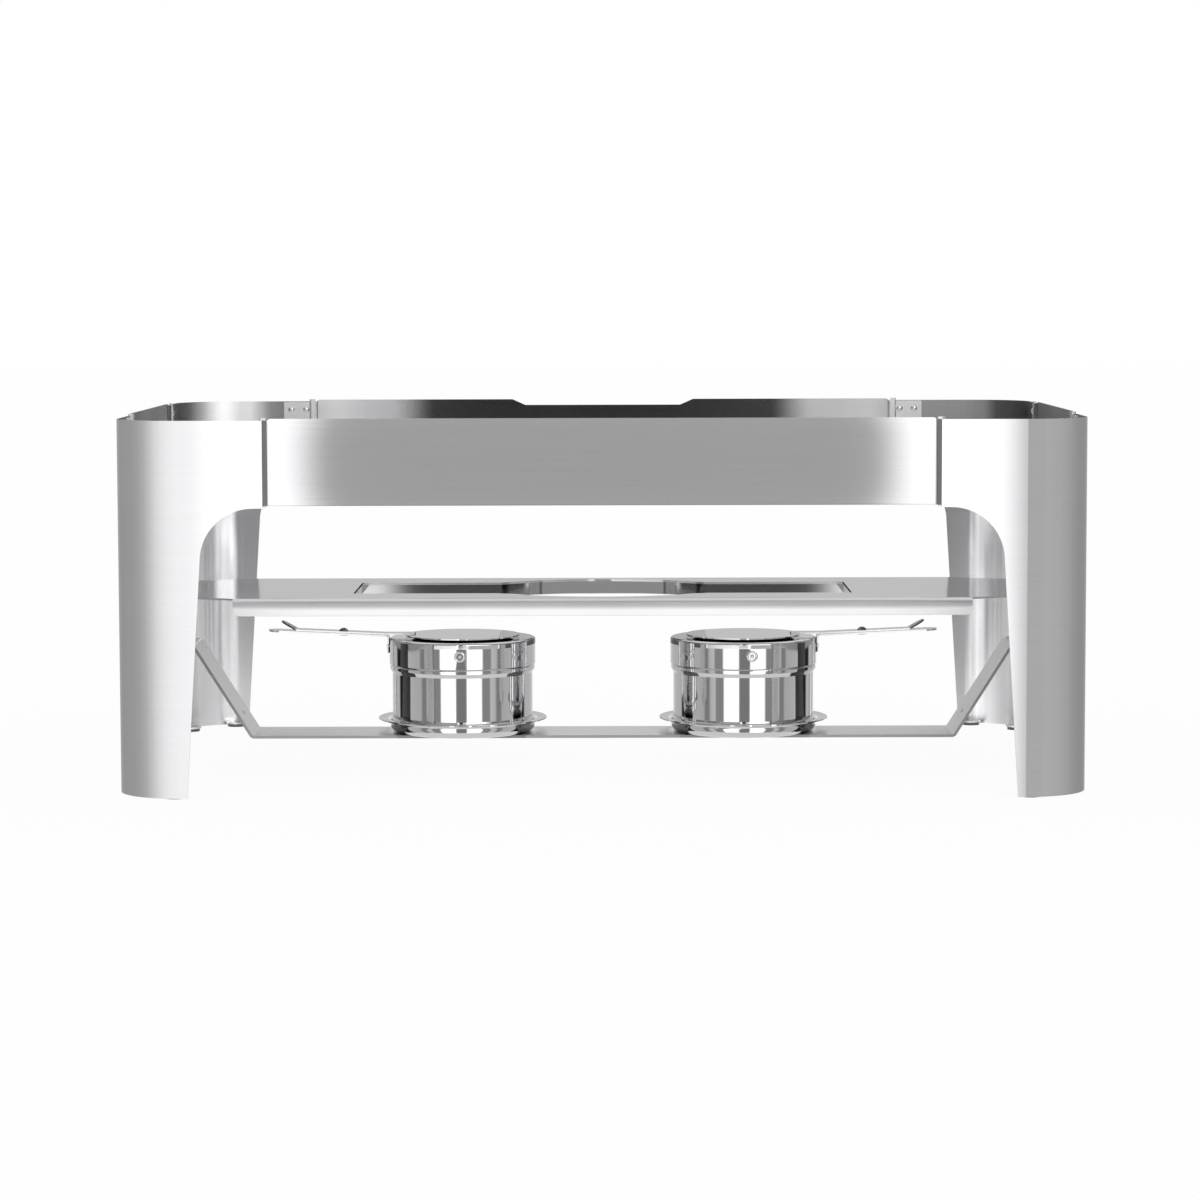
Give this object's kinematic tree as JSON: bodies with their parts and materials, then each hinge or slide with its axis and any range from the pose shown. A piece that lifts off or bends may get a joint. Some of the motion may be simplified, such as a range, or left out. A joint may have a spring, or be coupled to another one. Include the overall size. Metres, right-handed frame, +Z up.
{
  "type": "chafing dish food warmer",
  "caption": "Rectangular sheet-steel chafing stand on curved corner legs, with slot-in aprons, a pan shelf and round fuel burners with swing lids on a bent strap.",
  "frame": {"origin": "centre of the footprint, at table level", "axes": "+X along the long side to the right seen from the front, +Y from front to back, +Z up"},
  "size_m": [0.588, 0.383, 0.2289],
  "materials": {
    "polished_sheet": "polished stainless sheet, faint vertical grain",
    "shelf_sheet": "mirror-polished stainless sheet",
    "satin_sheet": "satin stainless sheet",
    "burner_steel": "bright mirror-polished stainless",
    "rivet_steel": "bright headed steel",
    "foot_rubber": "matt black"
  },
  "bodies": {
    "stand": {"leg_front_left": "polished_sheet", "leg_front_right": "polished_sheet", "leg_rear_left": "polished_sheet", "leg_rear_right": "polished_sheet", "bracket_front_left": "satin_sheet", "bracket_front_right": "satin_sheet", "bracket_rear_left": "satin_sheet", "bracket_rear_right": "satin_sheet", "bracket_left_front": "satin_sheet", "bracket_left_rear": "satin_sheet", "bracket_right_front": "satin_sheet", "bracket_right_rear": "satin_sheet", "bracket_rivets_front_left": "rivet_steel", "bracket_rivets_front_right": "rivet_steel", "bracket_rivets_rear_left": "rivet_steel", "bracket_rivets_rear_right": "rivet_steel", "foot_pads_front_left": "foot_rubber", "foot_pads_front_right": "foot_rubber", "foot_pads_rear_left": "foot_rubber", "foot_pads_rear_right": "foot_rubber", "upper_rail_left": "satin_sheet", "lower_rail_left": "satin_sheet", "rail_rivets_left": "rivet_steel", "upper_rail_right": "satin_sheet", "lower_rail_right": "satin_sheet", "rail_rivets_right": "rivet_steel", "burner_strap": "satin_sheet", "strap_rivets": "rivet_steel", "saucer_left": "burner_steel", "saucer_right": "burner_steel"},
    "apron_front": {"apron_front": "polished_sheet"},
    "apron_rear": {"apron_rear": "polished_sheet"},
    "apron_left": {"apron_left": "polished_sheet"},
    "apron_right": {"apron_right": "polished_sheet"},
    "shelf": {"shelf": "shelf_sheet"},
    "burner_left": {"burner_cup_left": "burner_steel", "burner_collar_left": "burner_steel", "burner_handle_left": "burner_steel", "handle_rivets_left": "rivet_steel", "collar_eyelets_left": "rivet_steel", "lid_pivot_rivet_left": "rivet_steel"},
    "lid_left": {"lid_disc_left": "burner_steel", "lid_lever_left": "burner_steel"},
    "burner_right": {"burner_cup_right": "burner_steel", "burner_collar_right": "burner_steel", "burner_handle_right": "burner_steel", "handle_rivets_right": "rivet_steel", "collar_eyelets_right": "rivet_steel", "lid_pivot_rivet_right": "rivet_steel"},
    "lid_right": {"lid_disc_right": "burner_steel", "lid_lever_right": "burner_steel"}
  },
  "joints": [
    {"name": "apron_front_lift", "type": "slide", "parent": "stand", "child": "apron_front", "axis": [0, 0, 1], "range_m": [0, 0.056]},
    {"name": "apron_rear_lift", "type": "slide", "parent": "stand", "child": "apron_rear", "axis": [0, 0, 1], "range_m": [0, 0.056]},
    {"name": "apron_left_lift", "type": "slide", "parent": "stand", "child": "apron_left", "axis": [0, 0, 1], "range_m": [0, 0.056]},
    {"name": "apron_right_lift", "type": "slide", "parent": "stand", "child": "apron_right", "axis": [0, 0, 1], "range_m": [0, 0.056]},
    {"name": "shelf_lift", "type": "slide", "parent": "stand", "child": "shelf", "axis": [0, 0, 1], "range_m": [0, 0.13]},
    {"name": "burner_left_lift", "type": "slide", "parent": "stand", "child": "burner_left", "axis": [0, 0, 1], "range_m": [0, 0.0102]},
    {"name": "lid_left_swing", "type": "hinge", "parent": "burner_left", "child": "lid_left", "pos_m": [-0.1685, 0, 0.08293], "axis": [0.0454, 0, 0.999], "range_deg": [-65, 65]},
    {"name": "burner_right_lift", "type": "slide", "parent": "stand", "child": "burner_right", "axis": [0, 0, 1], "range_m": [0, 0.0102]},
    {"name": "lid_right_swing", "type": "hinge", "parent": "burner_right", "child": "lid_right", "pos_m": [0.1685, 0, 0.08293], "axis": [-0.0454, 0, 0.999], "range_deg": [-65, 65]}
  ]
}
